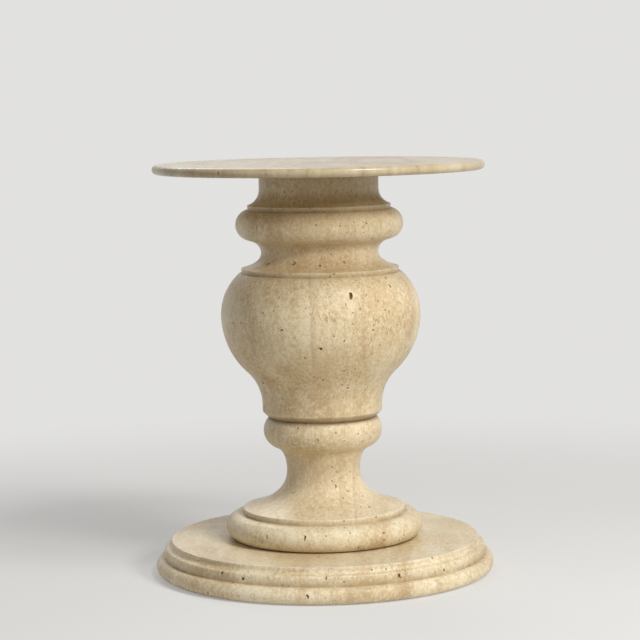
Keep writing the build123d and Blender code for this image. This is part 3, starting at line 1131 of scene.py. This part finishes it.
    def paint_surface(self, roughness, relief, tint):
        """Colour, sheen and relief of the face, with the faint marks of turning."""
        self.coat("Base Color", self.mix(1.0, self.colour, tint, "MULTIPLY") if tint else self.colour)
        rubbing = RUBBING * self.figure
        sheen = self.noise(self.spot, 26.0)
        sheen = self.span(sheen, 0.30, 0.70, roughness - rubbing, roughness + rubbing)
        self.coat("Roughness", self.math("ADD", sheen, self.times(self.pore, 0.3 * self.figure)))
        level = self.axes(self.place)[2]
        ring = self.math("SINE", self.times(level, tau / TURNING_MARKS))
        height = self.weigh(
            (self.grain, 0.10), (self.mottle, 0.14), (ring, 0.015), (self.dash, -0.12), (self.pore, -0.7),
        )
        self.bump(height, RELIEF_DEPTH, relief)


def travertine(
    name, stone, block, roughness, relief,
    figure=1.0, waver=1.0, tint=None, veins=(), patches=(), drifts=(),
):
    """Travertine: upright beds, clouds, grain, dashes, veins, fine pores, and worn edges and dusty quirks
    with painted highlight and shade.
    """
    finish = Travertine(name, stone, block, figure, waver)
    finish.paint_beds()
    finish.paint_patches(patches)
    finish.gather_drifts(drifts)
    finish.paint_grain()
    finish.paint_veins(veins)
    finish.paint_pores()
    finish.paint_wear_and_shade()
    finish.paint_surface(roughness, relief, tint)
    return finish.material


def shared_finish(name, paint, colours):
    """Material that several pieces share, painted when it is first asked for."""
    if name not in bpy.data.materials:
        paint(Finish(name), colours)
    return bpy.data.materials[name]


def paint_pit_lining(finish, stone):
    """Rough brown inside of the pits."""
    crust = finish.noise(finish.place, 900.0)
    finish.coat("Base Color", finish.mix(finish.span(crust, 0.40, 0.72), stone.lining, stone.stain))
    finish.coat("Roughness", 0.9)
    finish.bump(crust, RELIEF_DEPTH, strength=0.8)


def paint_zinc(finish, steel):
    """Zinc-plated steel with a cloudy bloom and fine scratches."""
    bloom = finish.noise(finish.place, 120.0, detail=4.0, roughness=0.65)
    drawn = finish.vector("MULTIPLY", finish.place, (900, 900, 60))
    scratch = finish.noise(drawn, 1.0, detail=2.0, roughness=0.5)
    finish.coat("Base Color", finish.mix(finish.span(bloom, 0.38, 0.66), steel.zinc, steel.dull))
    wear = finish.weigh((bloom, 0.7), (scratch, 0.3))
    finish.coat("Roughness", finish.span(wear, 0.3, 0.7, 0.28, 0.50))
    finish.coat("Metallic", 1.0)
    finish.bump(scratch, SCRATCH_DEPTH, strength=0.4)


def zinc_plating(settings):
    """Finish of the steel fixings."""
    return shared_finish("zinc_plating", paint_zinc, settings.steel)


# Pieces


class PEDESTAL_OT_plinth(Operator):
    """Turns the plinth and cuts its pits"""
    bl_idname = "pedestal.plinth"
    bl_label = "Plinth"

    def execute(self, context):
        settings = context.scene.pedestal
        wall, loop = plinth_section(settings.plinth, settings.fixing)
        wall.append(Vector((settings.foot.radius, plinth_bed)))
        joints = [(foot_joint(settings.foot), BED_DIRT_AND_SHADE_REACH)]
        stone = Stone(settings, "plinth", PLINTH_BLOCK, wall, loop, WIDE_SEGMENTS, joints)
        stone.add_pits(PLINTH_PITS)
        finish = travertine(
            "plinth_travertine", settings.stone, PLINTH_BLOCK, settings.stone.honed, HONED_RELIEF,
            patches=stone.spots(PLINTH_PATCHES),
        )
        stone.build(finish)
        return {"FINISHED"}


class PEDESTAL_OT_foot(Operator):
    """Turns the foot and cuts its pits"""
    bl_idname = "pedestal.foot"
    bl_label = "Foot"

    def execute(self, context):
        settings = context.scene.pedestal
        wall, loop = foot_section(settings.foot, settings.urn.joint_radius, settings.fixing)
        joints = [
            (foot_joint(settings.foot), BED_DIRT_AND_SHADE_REACH),
            ((settings.urn.joint_radius, foot_bed), BED_DIRT_AND_SHADE_REACH),
        ]
        stone = Stone(settings, "foot", FOOT_BLOCK, wall, loop, SLIM_SEGMENTS, joints)
        stone.add_pits(FOOT_BEAD_PITS, FOOT_FLARE_PITS, FOOT_TORUS_PITS)
        finish = travertine(
            "foot_travertine", settings.stone, FOOT_BLOCK, settings.stone.honed, HONED_RELIEF,
            veins=FOOT_VEINS, patches=stone.spots(FOOT_PATCHES), drifts=stone.spots(FOOT_DRIFTS),
        )
        stone.build(finish)
        return {"FINISHED"}


class PEDESTAL_OT_urn(Operator):
    """Turns the urn and cuts its pits and dowel holes"""
    bl_idname = "pedestal.urn"
    bl_label = "Urn"

    def execute(self, context):
        settings = context.scene.pedestal
        wall, loop = urn_section(settings.urn, settings.fixing)
        # The open undercut joint gets a wide dark band of dirt and painted shade
        joints = [
            ((settings.urn.joint_radius, foot_bed), UNDERCUT_DIRT_AND_SHADE_REACH),
            ((settings.urn.neck_radius, urn_bed), BED_DIRT_AND_SHADE_REACH),
        ]
        stone = Stone(settings, "urn", URN_BLOCK, wall, loop, SLIM_SEGMENTS, joints)
        stone.add_pits(URN_BELLY_PITS, URN_SHOULDER_PITS, URN_COLLAR_PITS)
        finish = travertine(
            "urn_travertine", settings.stone, URN_BLOCK, settings.stone.honed, HONED_RELIEF,
            tint=settings.stone.urn_tint, veins=URN_VEINS, patches=stone.spots(URN_PATCHES),
            drifts=stone.spots(URN_DRIFTS),
        )
        holes = dowel_cutters(settings.fixing, dowel_foot, urn_bed + SUPPORT)
        stone.build(finish, holes)
        return {"FINISHED"}


class PEDESTAL_OT_top_plate(Operator):
    """Turns the plate and cuts its nicks and dowel holes"""
    bl_idname = "pedestal.top_plate"
    bl_label = "Top plate"

    def execute(self, context):
        settings = context.scene.pedestal
        wall, loop = plate_section(settings.plate, settings.urn.neck_radius)
        joints = [((settings.urn.neck_radius, urn_bed), BED_DIRT_AND_SHADE_REACH)]
        stone = Stone(settings, "top_plate", PLATE_BLOCK, wall, loop, WIDE_SEGMENTS, joints)
        stone.add_pits(PLATE_PITS)
        # The plate's tint darkens it partly as painted shade for a dimmer reflection
        finish = travertine(
            "plate_travertine", settings.stone, PLATE_BLOCK, settings.stone.polished, POLISHED_RELIEF,
            figure=0.4, waver=2.0, tint=settings.stone.plate_tone_and_shade,
        )
        holes = dowel_cutters(settings.fixing, urn_bed - SUPPORT, dowel_top + settings.fixing.dowel_room)
        stone.build(finish, holes)
        return {"FINISHED"}


def thread_radius(fixing, level, around):
    """Radius of the rod at a level and a share of the way round: thread, run-out and end chamfer."""
    end = min(level - rod_bottom, rod_top - level)
    fade = min(1.0, max(0.0, (fixing.thread_length - end) / fixing.thread_pitch))
    crest = fixing.rod_radius - max(0.0, fixing.rod_chamfer - end)
    turn = (level / fixing.thread_pitch - around) % 1.0
    flank = min(1.0, max(0.0, FLANK_SLOPE * abs(turn - 0.5) - CREST_SHARE))
    return min(crest, fixing.rod_radius - fixing.thread_depth * fade * flank)


class PEDESTAL_OT_tie_rod(Operator):
    """Makes the tie rod, with a thread at both ends"""
    bl_idname = "pedestal.tie_rod"
    bl_label = "Tie rod"

    def execute(self, context):
        settings = context.scene.pedestal
        fixing = settings.fixing
        step = fixing.thread_pitch / THREAD_STEPS
        count = round(fixing.thread_length / step)
        levels = [rod_bottom + i * step for i in range(count + 1)]
        levels += [rod_top - i * step for i in range(count, -1, -1)]
        rings = []
        for level in levels:
            ring = []
            for k in range(THREAD_SEGMENTS):
                radius = thread_radius(fixing, level, k / THREAD_SEGMENTS)
                ring.append(on_ring(radius, tau * k / THREAD_SEGMENTS, level))
            rings.append(ring)
        verts, faces = skin(rings)
        faces.append(tuple(reversed(range(THREAD_SEGMENTS))))
        faces.append(tuple(range(len(verts) - THREAD_SEGMENTS, len(verts))))
        rod = add_mesh("threaded_tie_rod", verts, faces, zinc_plating(settings))
        smooth(rod.data)
        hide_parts("tie_rod")
        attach(rod, "root")
        return {"FINISHED"}


def plate_with_zinc(context, *nodes):
    """Gives CAD fixings their zinc finish."""
    finish = zinc_plating(context.scene.pedestal)
    for node in nodes:
        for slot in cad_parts[node].material_slots:
            slot.material = finish


class PEDESTAL_OT_nuts(Operator):
    """Plates the nuts"""
    bl_idname = "pedestal.nuts"
    bl_label = "Nuts"

    def execute(self, context):
        plate_with_zinc(context, "lower_nut", "upper_nut")
        return {"FINISHED"}


class PEDESTAL_OT_washers(Operator):
    """Plates the washers"""
    bl_idname = "pedestal.washers"
    bl_label = "Washers"

    def execute(self, context):
        plate_with_zinc(context, "lower_washer", "upper_washer")
        return {"FINISHED"}


class PEDESTAL_OT_dowels(Operator):
    """Plates the dowels"""
    bl_idname = "pedestal.dowels"
    bl_label = "Dowels"

    def execute(self, context):
        plate_with_zinc(context, "plate_dowels")
        return {"FINISHED"}


# Stage


def floor_finish(studio):
    """Pale floor that fades out into the background, and shows nothing from below."""
    finish = Finish("studio_floor")
    shade = [channel * FLOOR_SHADE for channel in studio.floor]
    cloud = finish.noise(finish.place, 3.0, roughness=0.5)
    finish.coat("Base Color", finish.mix(cloud, studio.floor, shade))
    finish.coat("Roughness", 0.9)
    finish.coat("Specular IOR Level", 0.0)
    glow = finish.feed_all(finish.node("Emission"), studio.backdrop)[0]
    lift = finish.times(finish.seen(), studio.floor_lift)
    lifted = finish.blend(lift, finish.surface.outputs[0], glow)
    away = finish.vector("LENGTH", finish.place, (0, 0, 0))
    fade = finish.span(away, studio.floor_radius * FADE_START, studio.floor_radius * FADE_END)
    below = finish.node("NewGeometry").outputs["Backfacing"]
    clear = finish.node("BsdfTransparent").outputs[0]
    shown = finish.blend(finish.math("MAXIMUM", fade, below), lifted, clear)
    finish.feed(finish.output.inputs["Surface"], shown)
    return finish.material


def add_floor(studio, opening):
    """Ring of floor round an opening."""
    rings = []
    for radius in (studio.floor_radius, opening):
        rings.append([on_ring(radius, tau * k / FLOOR_SEGMENTS, 0.0) for k in range(FLOOR_SEGMENTS)])
    floor = add_mesh("studio_floor", *skin(rings), floor_finish(studio))
    floor.location.z = floor_level - FLOOR_GAP


def add_lamps(studio):
    """Lamps that light the middle of the pedestal and aren't seen themselves."""
    target = Vector((0.0, 0.0, (floor_level + table_bed) / 2))
    for name, lamp in LAMPS.items():
        light = bpy.data.lights.new(f"{name}_lamp", "AREA")
        light.size = lamp.side
        light.energy = getattr(studio, f"{name}_power")
        stand = add_object(f"{name}_lamp", light)
        stand.location = lamp.place
        stand.rotation_mode = "QUATERNION"
        stand.rotation_quaternion = (target - Vector(lamp.place)).to_track_quat("-Z", "Y")
        stand.visible_camera = False
        stand.visible_glossy = lamp.mirrored


def set_world(studio):
    """Pale background to the eye, and a lower even light from all round."""
    world = bpy.data.worlds.new("studio")
    nodes = Nodes(world)
    light = nodes.feed_all(nodes.node("Background"), (1.0, 1.0, 1.0), studio.ambient)[0]
    backdrop = nodes.feed_all(nodes.node("Background"), studio.backdrop)[0]
    output = nodes.node("OutputWorld")
    nodes.feed(output.inputs["Surface"], nodes.blend(nodes.seen(), light, backdrop))
    bpy.context.scene.world = world


def add_camera(studio):
    """Camera where the photograph was taken from."""
    lens = bpy.data.cameras.new("camera")
    lens.sensor_width = SENSOR_WIDTH
    lens.lens = studio.lens
    camera = add_object("camera", lens)
    camera.location = studio.stand
    camera.rotation_mode = "QUATERNION"
    camera.rotation_quaternion = camera_turn(studio)
    bpy.context.scene.camera = camera


class PEDESTAL_OT_stage(Operator):
    """Sets up the floor (open under the plinth), lamps, background and camera"""
    bl_idname = "pedestal.stage"
    bl_label = "Stage"

    def execute(self, context):
        studio = context.scene.pedestal.studio
        plinth = context.scene.pedestal.plinth
        add_floor(studio, plinth.radius - plinth.bullnose_height / 2 - FLOOR_TUCK)
        add_lamps(studio)
        set_world(studio)
        add_camera(studio)
        context.scene.view_settings.view_transform = "Standard"
        return {"FINISHED"}


OPERATORS = (
    PEDESTAL_OT_plinth,
    PEDESTAL_OT_foot,
    PEDESTAL_OT_urn,
    PEDESTAL_OT_top_plate,
    PEDESTAL_OT_tie_rod,
    PEDESTAL_OT_nuts,
    PEDESTAL_OT_washers,
    PEDESTAL_OT_dowels,
    PEDESTAL_OT_stage,
)


class PEDESTAL_PT_builder(Panel):
    """Lists the pedestal's pieces, sizes and finishes"""
    bl_label = "Turned Stone Pedestal"
    bl_idname = "PEDESTAL_PT_builder"
    bl_space_type = "VIEW_3D"
    bl_region_type = "UI"
    bl_category = "Pedestal"

    def draw(self, context):
        for operator in OPERATORS:
            self.layout.operator(operator.bl_idname)
        settings = context.scene.pedestal
        for name in PedestalSettings.__annotations__:
            box = self.layout.box()
            box.label(text=name.capitalize())
            group = getattr(settings, name)
            for size in type(group).__annotations__:
                box.prop(group, size)


CLASSES = (
    PlinthSizes,
    FootSizes,
    UrnSizes,
    PlateSizes,
    FixingSizes,
    StoneFinish,
    SteelFinish,
    StudioSettings,
    PedestalSettings,
    *OPERATORS,
    PEDESTAL_PT_builder,
)


def register():
    """Registers the classes and the scene's settings."""
    for cls in CLASSES:
        bpy.utils.register_class(cls)
    bpy.types.Scene.pedestal = group_of(PedestalSettings, "Pedestal")


def unregister():
    """Removes the settings and the classes."""
    del bpy.types.Scene.pedestal
    for cls in reversed(CLASSES):
        bpy.utils.unregister_class(cls)


def main():
    """Registers the settings, builds every piece in order and sets up the stage."""
    register()
    bpy.ops.pedestal.plinth()
    bpy.ops.pedestal.foot()
    bpy.ops.pedestal.urn()
    bpy.ops.pedestal.top_plate()
    bpy.ops.pedestal.tie_rod()
    bpy.ops.pedestal.nuts()
    bpy.ops.pedestal.washers()
    bpy.ops.pedestal.dowels()
    bpy.ops.pedestal.stage()


if __name__ == "__main__":
    main()
